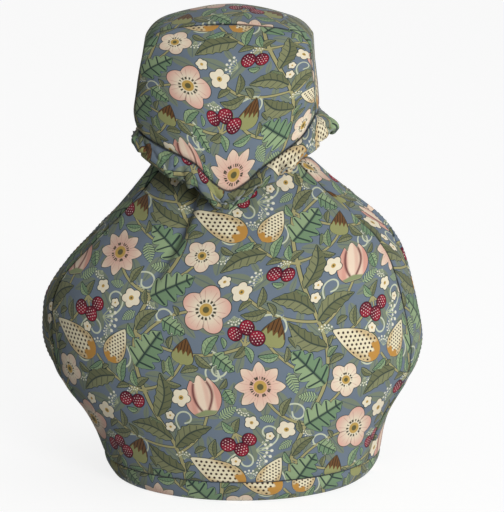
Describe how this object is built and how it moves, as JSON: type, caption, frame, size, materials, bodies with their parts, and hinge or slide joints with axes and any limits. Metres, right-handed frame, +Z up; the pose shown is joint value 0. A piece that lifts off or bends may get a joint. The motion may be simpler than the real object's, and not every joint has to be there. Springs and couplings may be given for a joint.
{
  "type": "tea cosy",
  "caption": "Fitted wadded cotton tea cosy: pear-shaped body with slit side strips on a rolled hem, folded pointed collar and closed boxed hood.",
  "frame": {"origin": "on the floor, under the middle of the cosy's box", "axes": "+Z up, -Y to the front, +X to the handle's side, -X to the spout's side"},
  "size_m": [0.1966, 0.1618, 0.2428],
  "materials": {
    "printed_cotton": "matt printed cotton, all-over leaf and flower print on slate blue"
  },
  "bodies": {
    "root": {"front_panel": "printed_cotton", "back_panel": "printed_cotton", "left_side_strip": "printed_cotton", "right_side_strip": "printed_cotton", "hem_band": "printed_cotton", "collar": "printed_cotton", "hood_front": "printed_cotton", "hood_back": "printed_cotton", "hood_strip": "printed_cotton"}
  },
  "joints": []
}
